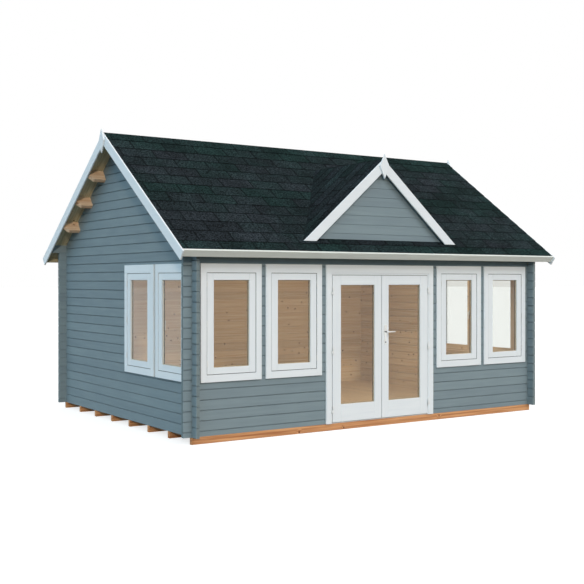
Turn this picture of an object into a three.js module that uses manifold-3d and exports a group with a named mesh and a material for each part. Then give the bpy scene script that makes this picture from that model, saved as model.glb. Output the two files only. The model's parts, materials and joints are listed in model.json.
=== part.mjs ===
// Wooden garden house: log walls with crossed corners, a gabled roof with a small triangular
// front gable, two leaves of a glazed double door and eight casement windows.
//
// Millimetres, +Z up. X runs along the front, the front faces -Y, and Z = 0 is the level floor
// under the bearers. The origin is the middle of the plan.

import * as THREE from 'three';
import { mergeVertices } from 'three/addons/utils/BufferGeometryUtils.js';
import Module from 'manifold-3d';

const wasm = await Module();
wasm.setup();

// ---- driving dimensions -----------------------------------------------------------------------

const GAP = 0.3;                 // air between pieces that are fitted together

const BEARER_COUNT = 8;
const BEARER_WIDTH = 45;
const BEARER_HEIGHT = 82;

const HALF_LENGTH = 2680;        // outer face of the side walls, along X
const HALF_DEPTH = 1854;         // outer face of the front and back walls, along Y
const LOG_THICKNESS = 44;
const LOG_PITCH = 114;
const LOG_END = 105;             // how far the crossed logs run past the corner
const WALL_BASE = BEARER_HEIGHT;
const FLOOR_THICKNESS = 19;
const FLOOR_MARGIN = 5;

const ROOF_TAN = 0.725;          // fall of the main roof for each unit of run
const RIDGE_HEIGHT = 3639;       // top of the covering at the ridge
const ROOF_THICKNESS = 25;       // boards and shingles together
const EAVE_Y = 2066;             // where the covering ends, along Y
const BARGE_X = 2902.7;          // inner face of the bargeboards
const BOARD = 19;                // thickness of bargeboards and finials
const BARGE_WIDTH = 117;
const BARGE_END_Y = 2103;
const FASCIA_THICKNESS = 26;
const FASCIA_DEPTH = 87;
const CORBEL_X = 2890;           // outer end of the wall plates and purlins

const PURLIN_WIDTH = 58;
const PURLIN_DEPTH = 145;
const PURLIN_SPLAY = 58;         // bevel on the lower outer corner of a purlin
const PURLIN_STATIONS = [701, 1229, 1757];   // distance of each purlin from the ridge, on the slope
const RIDGE_PURLIN_DEPTH = 120;

const WINDOW_HALF = 398;         // half width over the outer casing
const WINDOW_BOTTOM = 592;       // above the foot of the wall, as all heights below
const WINDOW_TOP = 1907;
const WINDOW_FACE_X = [-2176.6, -1320.8, 1320.8, 2176.6];
const WINDOW_LEFT_Y = [-1408.5, -566.9];
const WINDOW_RIGHT_Y = [-1300, -458.4];
const SASH_HALF = 318;
const SASH_BOTTOM = 679;
const SASH_TOP = 1801;
const GLASS_HALF = 232;
const GLASS_BOTTOM = 752;
const GLASS_TOP = 1724;
const PANE = 8;                  // both glasses of a sealed pane
const JAMB = 28;
const CASING_PROUD = 22;         // how far the casings stand off the logs
const INNER_CASING = 60;
const SASH_PLAY = 6;
const SASH_DEPTH = 44;
const SASH_RECESS = 4;           // sash face behind the casing face

const DOOR_HALF = 859;
const DOOR_TOP = 1907;
const DOOR_CASING_HALF = 784;    // inner edge of the door's casing
const DOOR_CASING_TOP = 1808;
const DOOR_JAMB = 40;
const DOOR_JAMB_RECESS = 8;      // the strip of jamb inside the casing stands back by this much
const LEAF_OUTER = 762;
const LEAF_INNER = 3.6;
const LEAF_BOTTOM = 14;
const LEAF_TOP = 1781;
const LEAF_PLAY = 6;
const LEAF_GLASS = [113, 636.3];
const LEAF_GLASS_BOTTOM = 224;
const LEAF_GLASS_TOP = 1664;
const THRESHOLD = 8;
const DOOR_OPENING = LEAF_OUTER + LEAF_PLAY + DOOR_JAMB + GAP;
const DOOR_OPENING_TOP = LEAF_TOP + LEAF_PLAY + DOOR_JAMB + GAP;

const HINGE_RADIUS = 8;
const HINGE_LENGTH = 90;
const HINGE_OFFSET = 8.5;        // axis in front of the casing face
const LEAF_HINGES = [170, 880, 1590];
const SASH_HINGES = [800, 1240, 1680];

const HANDLE_X = 56;
const HANDLE_BOTTOM = 925;
const HANDLE_TOP = 1165;
const LEVER_HEIGHT = 1082;
const LEVER_LENGTH = 128;
const SPINDLE = 10;

const DORMER_TAN = 0.857;
const DORMER_APEX = 3303.5;
const DORMER_FACE_Y = 1914.5;    // outer face of the small gable's bargeboards
const DORMER_WALL_Y = 1848;
const DORMER_FOOT = 2266;        // level cut at the foot of its bargeboards

const FINIAL = { top: 60, wide: -87, bottom: -247, half: 75.5 };
const MAIN_FINIAL_RISE = -8;     // the finials on the main gables sit a little lower

// ---- materials --------------------------------------------------------------------------------

const material = (color, roughness, metalness = 0, extra = {}) =>
  new THREE.MeshStandardMaterial({ color, roughness, metalness, ...extra });

const greyPaint = material(0x7b8a90, 0.6);
const whitePaint = material(0xdfe4e6, 0.5);
const pine = material(0xb98a5c, 0.65);
const treatedPine = material(0xc8845a, 0.75);
const shingle = material(0x222b2f, 0.95);
const glass = material(0xc9d3d2, 0.05, 0, { transparent: true, opacity: 0.35 });
const steel = material(0xb9bcbe, 0.3, 0.9);

// ---- solids -----------------------------------------------------------------------------------

function toSolid(geometry) {
  geometry.deleteAttribute('normal');
  geometry.deleteAttribute('uv');
  const merged = mergeVertices(geometry, 1e-4);
  return new wasm.Manifold(new wasm.Mesh({
    numProp: 3,
    vertProperties: new Float32Array(merged.attributes.position.array),
    triVerts: new Uint32Array(merged.index.array),
  }));
}

function toGeometry(solid) {
  const { vertProperties, triVerts } = solid.getMesh();
  const geometry = new THREE.BufferGeometry();
  geometry.setAttribute('position', new THREE.BufferAttribute(vertProperties, 3));
  geometry.setIndex(new THREE.BufferAttribute(triVerts, 1));
  return geometry;
}

const join = (...solids) => solids.reduce((sum, solid) => sum.add(solid));
const cut = (solid, ...tools) => tools.reduce((rest, tool) => rest.subtract(tool), solid);

function block(x0, x1, y0, y1, z0, z1) {
  const geometry = new THREE.BoxGeometry(x1 - x0, y1 - y0, z1 - z0);
  geometry.translate((x0 + x1) / 2, (y0 + y1) / 2, (z0 + z1) / 2);
  return toSolid(geometry);
}

function extrude(points, depth, axes) {
  const shape = new THREE.Shape(points.map(([a, b]) => new THREE.Vector2(a, b)));
  const geometry = new THREE.ExtrudeGeometry(shape, { depth, bevelEnabled: false, steps: 1 });
  return toSolid(geometry.applyMatrix4(axes));
}

// an outline of [y, z] points carried from x0 to x1
function prismAlongX(points, x0, x1) {
  const axes = new THREE.Matrix4().makeBasis(
    new THREE.Vector3(0, 1, 0), new THREE.Vector3(0, 0, 1), new THREE.Vector3(1, 0, 0));
  return extrude(points, x1 - x0, axes.setPosition(x0, 0, 0));
}

// an outline of [x, z] points carried from y0 to y1
function prismAlongY(points, y0, y1) {
  const axes = new THREE.Matrix4().makeBasis(
    new THREE.Vector3(1, 0, 0), new THREE.Vector3(0, 0, 1), new THREE.Vector3(0, -1, 0));
  return extrude(points, y1 - y0, axes.setPosition(0, y1, 0));
}

function upright(x, y, z0, z1, radius) {
  const geometry = new THREE.CylinderGeometry(radius, radius, z1 - z0, 12);
  geometry.rotateX(Math.PI / 2);
  geometry.translate(x, y, (z0 + z1) / 2);
  return toSolid(geometry);
}

// a rectangular ring in the XZ plane: outer and inner are [half width, bottom, top]
function ring(outer, inner, y0, y1) {
  const body = block(-outer[0], outer[0], y0, y1, outer[1], outer[2]);
  return cut(body, block(-inner[0], inner[0], y0 - 1, y1 + 1, inner[1], inner[2]));
}

const group = new THREE.Group();

function place(name, solid, surface, parent = group) {
  const mesh = new THREE.Mesh(toGeometry(solid), surface);
  mesh.name = name;
  parent.add(mesh);
  return mesh;
}

// ---- roof planes ------------------------------------------------------------------------------

const ROOF_COS = 1 / Math.hypot(1, ROOF_TAN);
const ROOF_SIN = ROOF_TAN * ROOF_COS;
const DORMER_COS = 1 / Math.hypot(1, DORMER_TAN);
const HIGH = RIDGE_HEIGHT + 1000;

// point on a slope, `along` down from the ridge and `below` its top face; side is -1 front, 1 back
const slopePoint = (side, along, below) => [
  side * (along * ROOF_COS - below * ROOF_SIN),
  RIDGE_HEIGHT - along * ROOF_SIN - below * ROOF_COS,
];
const roofLine = (y, below) => RIDGE_HEIGHT - ROOF_TAN * Math.abs(y) - below / ROOF_COS;

// everything above the plane that lies `below` under the covering's top face
function aboveRoof(below, halfX = HALF_LENGTH * 2) {
  const reach = HALF_DEPTH * 2;
  return prismAlongX([
    [0, roofLine(0, below)], [-reach, roofLine(reach, below)],
    [-reach, HIGH], [reach, HIGH], [reach, roofLine(reach, below)],
  ].reverse(), -halfX, halfX);
}

function belowRoof(below, halfX = HALF_LENGTH * 2) {
  const reach = HALF_DEPTH * 2;
  return prismAlongX([
    [0, roofLine(0, below)], [-reach, roofLine(reach, below)],
    [-reach, -HIGH], [reach, -HIGH], [reach, roofLine(reach, below)],
  ], -halfX, halfX);
}

// ---- bearers and floor ------------------------------------------------------------------------

const bearerStep = (2 * HALF_DEPTH - BEARER_WIDTH) / (BEARER_COUNT - 1);
for (let i = 0; i < BEARER_COUNT; i += 1) {
  const y = -HALF_DEPTH + i * bearerStep;
  place(`bearer_${i + 1}`, block(-HALF_LENGTH, HALF_LENGTH, y, y + BEARER_WIDTH, 0, BEARER_HEIGHT),
    treatedPine);
}

const floorX = HALF_LENGTH - LOG_THICKNESS - FLOOR_MARGIN;
const floorY = HALF_DEPTH - LOG_THICKNESS - FLOOR_MARGIN;
place('floor', block(-floorX, floorX, -floorY, floorY, WALL_BASE, WALL_BASE + FLOOR_THICKNESS), pine);

// ---- walls ------------------------------------------------------------------------------------

// Front and back walls start with half a log, side walls with a whole one, so at the crossing the
// necks of the two walls take turns, half a log each. A neck is what a log keeps between its notches.
const NECK = LOG_PITCH / 2;
const CROSSINGS = 19;
const PLATE_NECK = WALL_BASE + (CROSSINGS - 0.25) * LOG_PITCH;

// the side wall's necks in the front or back wall
function sideNecks(cornerSign, y0, y1) {
  const xs = [cornerSign * (HALF_LENGTH + GAP), cornerSign * (HALF_LENGTH - LOG_THICKNESS - GAP)];
  const x0 = Math.min(...xs);
  const x1 = Math.max(...xs);
  const tools = [];
  for (let j = 0; j < CROSSINGS; j += 1) {
    const z = WALL_BASE + (j + 0.25) * LOG_PITCH;
    tools.push(block(x0, x1, y0 - 1, y1 + 1, z - GAP, z + NECK + GAP));
  }
  return tools;
}

// the front or back wall's necks in the side wall
function faceNecks(cornerSign, x0, x1) {
  const ys = [cornerSign * (HALF_DEPTH + GAP), cornerSign * (HALF_DEPTH - LOG_THICKNESS - GAP)];
  const y0 = Math.min(...ys);
  const y1 = Math.max(...ys);
  const tools = [block(x0 - 1, x1 + 1, y0, y1, WALL_BASE - 1, WALL_BASE + NECK / 2 + GAP)];
  for (let k = 1; k < CROSSINGS; k += 1) {
    const z = WALL_BASE + (k - 0.25) * LOG_PITCH;
    tools.push(block(x0 - 1, x1 + 1, y0, y1, z - GAP, z + NECK + GAP));
  }
  tools.push(block(x0 - 1, x1 + 1, y0, y1, PLATE_NECK - GAP, HIGH));
  return tools;
}

const WINDOW_OPENING = {
  half: SASH_HALF + SASH_PLAY + JAMB + GAP,
  bottom: WALL_BASE + SASH_BOTTOM - SASH_PLAY - JAMB - GAP,
  top: WALL_BASE + SASH_TOP + SASH_PLAY + JAMB + GAP,
};

// A front or back wall between x0 and x1. Its last log is a plate bevelled to the roof, which runs
// out past the corners as a corbel.
function faceWall(side, x0, x1, z0, windows) {
  const ys = [side * HALF_DEPTH, side * (HALF_DEPTH - LOG_THICKNESS)];
  const y0 = Math.min(...ys);
  const y1 = Math.max(...ys);
  const plate = WALL_BASE + (CROSSINGS - 0.5) * LOG_PITCH;
  const run = HALF_LENGTH + LOG_END;
  const parts = [block(Math.max(x0, -run), Math.min(x1, run), y0, y1, z0, HIGH)];
  if (x0 < -run) parts.push(block(x0, -run + 1, y0, y1, plate, HIGH));
  if (x1 > run) parts.push(block(run - 1, x1, y0, y1, plate, HIGH));
  const tools = [aboveRoof(ROOF_THICKNESS + GAP)];
  if (x0 < -run) tools.push(...sideNecks(-1, y0, y1));
  if (x1 > run) tools.push(...sideNecks(1, y0, y1));
  for (const x of windows) {
    tools.push(block(x - WINDOW_OPENING.half, x + WINDOW_OPENING.half, y0 - 1, y1 + 1,
      WINDOW_OPENING.bottom, WINDOW_OPENING.top));
  }
  return cut(join(...parts), ...tools);
}

const [outerLeft, innerLeft, innerRight, outerRight] = WINDOW_FACE_X;
place('front_wall_left',
  faceWall(-1, -CORBEL_X, -DOOR_OPENING, WALL_BASE, [outerLeft, innerLeft]), greyPaint);
place('front_wall_right',
  faceWall(-1, DOOR_OPENING, CORBEL_X, WALL_BASE, [innerRight, outerRight]), greyPaint);
place('front_wall_over_door',
  faceWall(-1, -DOOR_OPENING + GAP, DOOR_OPENING - GAP, WALL_BASE + DOOR_OPENING_TOP, []), greyPaint);
place('back_wall', faceWall(1, -CORBEL_X, CORBEL_X, WALL_BASE, []), greyPaint);

// ---- purlins ----------------------------------------------------------------------------------

function purlinOutline(side, station, clearance) {
  const half = PURLIN_WIDTH / 2 + clearance;
  const top = ROOF_THICKNESS + GAP - clearance;
  const bottom = ROOF_THICKNESS + GAP + PURLIN_DEPTH + clearance;
  const corners = [
    slopePoint(side, station - half, top), slopePoint(side, station + half, top),
    slopePoint(side, station + half, bottom), slopePoint(side, station - half, bottom),
  ];
  return side > 0 ? corners.reverse() : corners;
}

function ridgeOutline(clearance) {
  const half = PURLIN_WIDTH / 2 + clearance;
  const below = ROOF_THICKNESS + GAP - clearance;
  const foot = roofLine(PURLIN_WIDTH / 2, ROOF_THICKNESS + GAP) - RIDGE_PURLIN_DEPTH - clearance;
  return [
    [-half, foot], [half, foot], [half, roofLine(half, below)], [0, roofLine(0, below)],
    [-half, roofLine(half, below)],
  ];
}

// the wedge that bevels the lower outer corner of a purlin at x = sign * CORBEL_X
function splay(side, station, sign) {
  const bottom = ROOF_THICKNESS + GAP + PURLIN_DEPTH;
  const wedge = new THREE.Shape([
    new THREE.Vector2(0, 1), new THREE.Vector2(-PURLIN_SPLAY - 1, 1), new THREE.Vector2(1, -PURLIN_SPLAY - 1),
    new THREE.Vector2(1, 1),
  ].reverse());
  const geometry = new THREE.ExtrudeGeometry(wedge,
    { depth: PURLIN_WIDTH + 2, bevelEnabled: false, steps: 1 });
  geometry.translate(0, 0, -PURLIN_WIDTH / 2 - 1);
  const down = new THREE.Vector3(0, -side * ROOF_SIN, -ROOF_COS);
  const out = new THREE.Vector3(sign, 0, 0);
  const [y, z] = slopePoint(side, station, bottom);
  const axes = new THREE.Matrix4().makeBasis(out, down, new THREE.Vector3().crossVectors(out, down));
  return toSolid(geometry.applyMatrix4(axes.setPosition(sign * CORBEL_X, y, z)));
}

for (const [side, word] of [[-1, 'front'], [1, 'back']]) {
  PURLIN_STATIONS.forEach((station, i) => {
    const beam = prismAlongX(purlinOutline(side, station, 0), -CORBEL_X, CORBEL_X);
    place(`purlin_${word}_${i + 1}`,
      cut(beam, splay(side, station, -1), splay(side, station, 1)), pine);
  });
}
place('ridge_purlin', prismAlongX(ridgeOutline(0), -CORBEL_X, CORBEL_X), pine);

// ---- gable walls ------------------------------------------------------------------------------

for (const [sign, word] of [[-1, 'left'], [1, 'right']]) {
  const xs = [sign * HALF_LENGTH, sign * (HALF_LENGTH - LOG_THICKNESS)];
  const x0 = Math.min(...xs);
  const x1 = Math.max(...xs);
  const run = HALF_DEPTH + LOG_END;
  const tools = [aboveRoof(ROOF_THICKNESS + GAP), ...faceNecks(-1, x0, x1), ...faceNecks(1, x0, x1)];
  for (const y of sign < 0 ? WINDOW_LEFT_Y : WINDOW_RIGHT_Y) {
    tools.push(block(x0 - 1, x1 + 1, y - WINDOW_OPENING.half, y + WINDOW_OPENING.half,
      WINDOW_OPENING.bottom, WINDOW_OPENING.top));
  }
  for (const side of [-1, 1]) {
    for (const station of PURLIN_STATIONS) {
      tools.push(prismAlongX(purlinOutline(side, station, GAP), x0 - 1, x1 + 1));
    }
  }
  tools.push(prismAlongX(ridgeOutline(GAP), x0 - 1, x1 + 1));
  place(`${word}_gable_wall`, cut(block(x0, x1, -run, run, WALL_BASE, HIGH), ...tools), greyPaint);
}

// ---- windows ----------------------------------------------------------------------------------

// A casement at the origin: x along the wall, y = 0 the wall's outer face, -y outside. The casings,
// the jamb, the stop, the sash with its hinges and the inside handle are one joined piece.
function casement(hingeSign) {
  const inner = [SASH_HALF + SASH_PLAY, SASH_BOTTOM - SASH_PLAY, SASH_TOP + SASH_PLAY];
  const grow = (size, by) => [size[0] + by, size[1] - by, size[2] + by];
  const sash = [SASH_HALF, SASH_BOTTOM, SASH_TOP];
  const face = -CASING_PROUD;
  const back = LOG_THICKNESS + CASING_PROUD;
  const sashFront = face + SASH_RECESS;
  const sashBack = sashFront + SASH_DEPTH;
  const parts = [
    ring([WINDOW_HALF, WINDOW_BOTTOM, WINDOW_TOP], inner, face, -GAP),
    ring(grow(inner, JAMB), inner, face, back),
    ring(grow(inner, INNER_CASING), inner, LOG_THICKNESS + GAP, back),
    ring(grow(inner, 1), grow(sash, -12), sashBack - 1, sashBack + 14),
    ring(sash, [GLASS_HALF, GLASS_BOTTOM, GLASS_TOP], sashFront, sashBack),
  ];
  const hingeX = hingeSign * (SASH_HALF + SASH_PLAY / 2);
  for (const z of SASH_HINGES) {
    parts.push(upright(hingeX, face - HINGE_RADIUS / 2 + 1, z - 35, z + 35, HINGE_RADIUS - 2));
  }
  const handleX = -hingeSign * (SASH_HALF + GLASS_HALF) / 2;
  const middle = (SASH_BOTTOM + SASH_TOP) / 2;
  parts.push(block(handleX - 14, handleX + 14, sashBack - 1, sashBack + 10, middle - 32, middle + 32));
  parts.push(block(handleX - 9, handleX + 9, sashBack - 1, sashBack + 36, middle - 100, middle + 20));
  return join(...parts);
}

const pane = (x0, x1, y, z0, z1) =>
  block(x0 + GAP, x1 - GAP, y - PANE / 2, y + PANE / 2, z0 + GAP, z1 - GAP);

const SASH_MIDDLE = -CASING_PROUD + SASH_RECESS + SASH_DEPTH / 2;

function addWindow(name, hingeSign, position, turn) {
  const frame = new THREE.Group();
  frame.position.set(...position);
  frame.rotation.z = turn;
  place(`${name}_frame`, casement(hingeSign), whitePaint, frame);
  place(`${name}_glass`, pane(-GLASS_HALF, GLASS_HALF, SASH_MIDDLE, GLASS_BOTTOM, GLASS_TOP),
    glass, frame);
  group.add(frame);
}

WINDOW_FACE_X.forEach((x, i) => {
  addWindow(`front_window_${i + 1}`, i % 2 ? 1 : -1, [x, -HALF_DEPTH, WALL_BASE], 0);
});
WINDOW_LEFT_Y.forEach((y, i) => {
  addWindow(`left_window_${i + 1}`, i ? -1 : 1, [-HALF_LENGTH, y, WALL_BASE], -Math.PI / 2);
});
WINDOW_RIGHT_Y.forEach((y, i) => {
  addWindow(`right_window_${i + 1}`, i ? 1 : -1, [HALF_LENGTH, y, WALL_BASE], Math.PI / 2);
});

// ---- door -------------------------------------------------------------------------------------

const CASING_Y = -HALF_DEPTH - CASING_PROUD;
const LEAF_FRONT = CASING_Y + SASH_RECESS;
const LEAF_BACK = LEAF_FRONT + SASH_DEPTH;
const INNER_Y = -HALF_DEPTH + LOG_THICKNESS;
const HINGE_X = LEAF_OUTER + LEAF_PLAY / 2;
const HINGE_Y = CASING_Y - HINGE_OFFSET;

// an upside-down U of casing or jamb, from its inner size outwards
function doorway(innerHalf, innerTop, width, y0, y1) {
  const body = block(-innerHalf - width, innerHalf + width, y0, y1, WALL_BASE, WALL_BASE + innerTop + width);
  return cut(body, block(-innerHalf, innerHalf, y0 - 1, y1 + 1, WALL_BASE - 1, WALL_BASE + innerTop));
}

// one half of a hinge: a barrel on the axis with the arm that carries it
function hingeHalf(sign, height, upper) {
  const z = WALL_BASE + height;
  const z0 = upper ? z + GAP : z - HINGE_LENGTH / 2;
  const z1 = upper ? z + HINGE_LENGTH / 2 : z - GAP;
  const barrel = upright(sign * HINGE_X, HINGE_Y, z0, z1, HINGE_RADIUS);
  const reach = upper ? -12 : 24;
  const xs = [sign * HINGE_X, sign * (HINGE_X + reach)];
  const arm = block(Math.min(...xs), Math.max(...xs), HINGE_Y - 3,
    upper ? LEAF_FRONT + 1 : CASING_Y + 1, z0 + 8, z1 - 8);
  return join(barrel, arm);
}

const jambHalf = LEAF_OUTER + LEAF_PLAY;
const jambTop = LEAF_TOP + LEAF_PLAY;
const stopStart = LEAF_BACK + LEAF_PLAY;
const doorFrame = [
  doorway(jambHalf, jambTop, DOOR_JAMB, CASING_Y + DOOR_JAMB_RECESS, INNER_Y + CASING_PROUD),
  doorway(DOOR_CASING_HALF, DOOR_CASING_TOP, DOOR_HALF - DOOR_CASING_HALF, CASING_Y, -HALF_DEPTH - GAP),
  block(-DOOR_HALF, DOOR_HALF, CASING_Y, -HALF_DEPTH - GAP,
    WALL_BASE + DOOR_CASING_TOP, WALL_BASE + DOOR_TOP),
  doorway(jambHalf, jambTop, INNER_CASING, INNER_Y + GAP, INNER_Y + CASING_PROUD),
  doorway(jambHalf - 18, jambTop - 18, 19, stopStart, stopStart + 16),
  block(-jambHalf - 1, jambHalf + 1, CASING_Y + CASING_PROUD, INNER_Y,
    WALL_BASE + GAP, WALL_BASE + THRESHOLD),
  block(-jambHalf - 1, jambHalf + 1, stopStart, INNER_Y, WALL_BASE + GAP, WALL_BASE + 22),
];
for (const sign of [-1, 1]) {
  for (const height of LEAF_HINGES) doorFrame.push(hingeHalf(sign, height, false));
}
const floorTop = WALL_BASE + FLOOR_THICKNESS + GAP;
const overFloor = block(-floorX, floorX, -floorY - GAP, 0, WALL_BASE - 1, floorTop);
place('door_frame', cut(join(...doorFrame), overFloor), whitePaint);

for (const [sign, word] of [[-1, 'left'], [1, 'right']]) {
  const span = (a, b) => [Math.min(sign * a, sign * b), Math.max(sign * a, sign * b)];
  const [x0, x1] = span(LEAF_INNER, LEAF_OUTER);
  const [g0, g1] = span(...LEAF_GLASS);
  const leaf = cut(
    block(x0, x1, LEAF_FRONT, LEAF_BACK, WALL_BASE + LEAF_BOTTOM, WALL_BASE + LEAF_TOP),
    block(g0, g1, LEAF_FRONT - 1, LEAF_BACK + 1, WALL_BASE + LEAF_GLASS_BOTTOM, WALL_BASE + LEAF_GLASS_TOP));
  let body = join(leaf, ...LEAF_HINGES.map((height) => hingeHalf(sign, height, true)));
  if (sign > 0) {
    const hole = SPINDLE / 2 + GAP;
    body = cut(body, block(HANDLE_X - hole, HANDLE_X + hole, LEAF_FRONT - 1, LEAF_BACK + 1,
      WALL_BASE + LEVER_HEIGHT - hole, WALL_BASE + LEVER_HEIGHT + hole));
  }
  place(`door_leaf_${word}`, body, whitePaint);
  place(`door_glass_${word}`, pane(g0, g1, (LEAF_FRONT + LEAF_BACK) / 2,
    WALL_BASE + LEAF_GLASS_BOTTOM, WALL_BASE + LEAF_GLASS_TOP), glass);
}

// lever handles on both faces, one piece with the spindle through the leaf
const handleParts = [block(HANDLE_X - SPINDLE / 2, HANDLE_X + SPINDLE / 2, LEAF_FRONT - 45, LEAF_BACK + 45,
  WALL_BASE + LEVER_HEIGHT - SPINDLE / 2, WALL_BASE + LEVER_HEIGHT + SPINDLE / 2)];
for (const [face, out] of [[LEAF_FRONT - GAP, -1], [LEAF_BACK + GAP, 1]]) {
  const slab = (near, far) => [Math.min(face + out * near, face + out * far),
    Math.max(face + out * near, face + out * far)];
  handleParts.push(block(HANDLE_X - 21, HANDLE_X + 21, ...slab(0, 6),
    WALL_BASE + HANDLE_BOTTOM, WALL_BASE + HANDLE_TOP));
  handleParts.push(block(HANDLE_X - 9, HANDLE_X + 9, ...slab(5, 12),
    WALL_BASE + HANDLE_BOTTOM + 35, WALL_BASE + HANDLE_BOTTOM + 67));
  handleParts.push(block(HANDLE_X - 9, HANDLE_X + LEVER_LENGTH, ...slab(38, 52),
    WALL_BASE + LEVER_HEIGHT - 9, WALL_BASE + LEVER_HEIGHT + 9));
}
place('door_handle', join(...handleParts), steel);

// ---- roof -------------------------------------------------------------------------------------

const eaveStation = EAVE_Y / ROOF_COS;
for (const [side, word] of [[-1, 'front'], [1, 'back']]) {
  const mitre = side * GAP / 2;
  const outline = [
    [mitre, roofLine(mitre, 0)], slopePoint(side, eaveStation, 0),
    slopePoint(side, eaveStation, ROOF_THICKNESS), [mitre, roofLine(mitre, ROOF_THICKNESS)],
  ];
  if (side > 0) outline.reverse();
  place(`${word}_roof`, prismAlongX(outline, -BARGE_X + GAP, BARGE_X - GAP), shingle);
  const fascia = [
    slopePoint(side, eaveStation + GAP, 0), slopePoint(side, eaveStation + FASCIA_THICKNESS, 0),
    slopePoint(side, eaveStation + FASCIA_THICKNESS, FASCIA_DEPTH),
    slopePoint(side, eaveStation + GAP, FASCIA_DEPTH),
  ];
  if (side > 0) fascia.reverse();
  place(`${word}_fascia`, prismAlongX(fascia, -BARGE_X + GAP, BARGE_X - GAP), whitePaint);
}

const bargeEnd = BARGE_END_Y / ROOF_COS;
const bargeOutline = [
  [0, roofLine(0, 0)], slopePoint(-1, bargeEnd, 0), slopePoint(-1, bargeEnd, BARGE_WIDTH),
  [0, roofLine(0, BARGE_WIDTH)], slopePoint(1, bargeEnd, BARGE_WIDTH), slopePoint(1, bargeEnd, 0),
];
const finialOutline = (apex) => [
  [0, apex + FINIAL.bottom], [FINIAL.half, apex + FINIAL.wide], [0, apex + FINIAL.top],
  [-FINIAL.half, apex + FINIAL.wide],
];
for (const [sign, word] of [[-1, 'left'], [1, 'right']]) {
  const outward = (near, far) => [Math.min(sign * near, sign * far), Math.max(sign * near, sign * far)];
  place(`${word}_bargeboards`, prismAlongX(bargeOutline, ...outward(BARGE_X, BARGE_X + BOARD)), whitePaint);
  place(`${word}_finial`, prismAlongX(finialOutline(RIDGE_HEIGHT + MAIN_FINIAL_RISE),
    ...outward(BARGE_X + BOARD + GAP, BARGE_X + 2 * BOARD)), whitePaint);
}

// ---- small front gable ------------------------------------------------------------------------

const dormerLine = (x, below) => DORMER_APEX - DORMER_TAN * Math.abs(x) - below / DORMER_COS;

// a chevron of roof or board between two depths under the small gable's top face, down to `foot`
function chevron(top, bottom, foot, y0, y1) {
  const at = (below) => (DORMER_APEX - below / DORMER_COS - foot) / DORMER_TAN;
  return prismAlongY([
    [0, dormerLine(0, top)], [-at(top), foot], [-at(bottom), foot],
    [0, dormerLine(0, bottom)], [at(bottom), foot], [at(top), foot],
  ], y0, y1);
}

const underMainRoof = belowRoof(-GAP);
const LOW = WALL_BASE + LOG_PITCH * 15;
const boardBack = -DORMER_FACE_Y + BOARD;
place('dormer_bargeboards', chevron(0, BARGE_WIDTH, DORMER_FOOT, -DORMER_FACE_Y, boardBack), whitePaint);
place('dormer_finial', prismAlongY(finialOutline(DORMER_APEX),
  -DORMER_FACE_Y - BOARD, -DORMER_FACE_Y - GAP), whitePaint);
place('dormer_roof', cut(chevron(0, ROOF_THICKNESS, LOW, boardBack + GAP, 0), underMainRoof), shingle);

const wallReach = (DORMER_APEX - LOW) / DORMER_TAN;
const panel = prismAlongY([
  [0, dormerLine(0, ROOF_THICKNESS + GAP)], [-wallReach, dormerLine(wallReach, ROOF_THICKNESS + GAP)],
  [wallReach, dormerLine(wallReach, ROOF_THICKNESS + GAP)],
], -DORMER_WALL_Y, -DORMER_WALL_Y + BOARD);
place('dormer_wall', cut(panel, underMainRoof), greyPaint);

export default group;
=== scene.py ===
import json
import math
import random
from functools import partial

import bpy
from mathutils import Matrix, Vector

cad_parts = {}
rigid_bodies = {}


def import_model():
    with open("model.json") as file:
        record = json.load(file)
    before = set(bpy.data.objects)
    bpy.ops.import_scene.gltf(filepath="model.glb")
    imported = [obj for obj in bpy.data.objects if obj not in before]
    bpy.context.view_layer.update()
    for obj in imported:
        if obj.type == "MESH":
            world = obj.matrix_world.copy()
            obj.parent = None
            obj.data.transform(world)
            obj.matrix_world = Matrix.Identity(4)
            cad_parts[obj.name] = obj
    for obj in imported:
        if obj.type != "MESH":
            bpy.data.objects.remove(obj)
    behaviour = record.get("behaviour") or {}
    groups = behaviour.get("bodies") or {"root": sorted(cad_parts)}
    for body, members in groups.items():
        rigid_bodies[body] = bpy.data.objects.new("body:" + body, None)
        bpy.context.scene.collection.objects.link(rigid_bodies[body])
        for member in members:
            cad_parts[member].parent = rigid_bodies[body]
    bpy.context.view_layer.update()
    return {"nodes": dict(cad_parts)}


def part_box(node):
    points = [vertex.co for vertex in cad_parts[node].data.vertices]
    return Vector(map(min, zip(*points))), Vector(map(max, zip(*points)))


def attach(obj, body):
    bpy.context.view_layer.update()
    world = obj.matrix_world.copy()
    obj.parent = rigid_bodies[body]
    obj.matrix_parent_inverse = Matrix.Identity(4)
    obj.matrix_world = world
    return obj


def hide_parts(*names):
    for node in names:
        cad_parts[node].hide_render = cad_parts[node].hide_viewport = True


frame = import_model()
random.seed(44114)

# A garden house of planed spruce logs with crossed corners: stained grey-blue outside and bare
# inside, white joinery, a shingled roof on pine boards, and a small gable over the doors.
# Lengths are in millimetres and turn into metres where a mesh is made.
MM = 0.001

LOG_PITCH = 114.0
WALL_BASE = 82.0
WALL_HALF_X = 2680.0
WALL_HALF_Y = 1854.0
LOG_THICKNESS = 44.0
LOG_END = 105.0

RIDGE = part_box("front_roof")[1].z / MM
ROOF_TAN = 0.725
ROOF_COS = 1 / math.hypot(1, ROOF_TAN)
ROOF_SIN = ROOF_TAN * ROOF_COS
ROOF_HALF_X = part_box("front_roof")[1].x / MM
SLOPE = -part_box("front_roof")[0].y / MM / ROOF_COS - 0.5

DORMER_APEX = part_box("dormer_roof")[1].z / MM
DORMER_TAN = 0.857
DORMER_COS = 1 / math.hypot(1, DORMER_TAN)
DORMER_SIN = math.sqrt(1 - DORMER_COS ** 2)
DORMER_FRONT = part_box("dormer_roof")[0].y / MM

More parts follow.
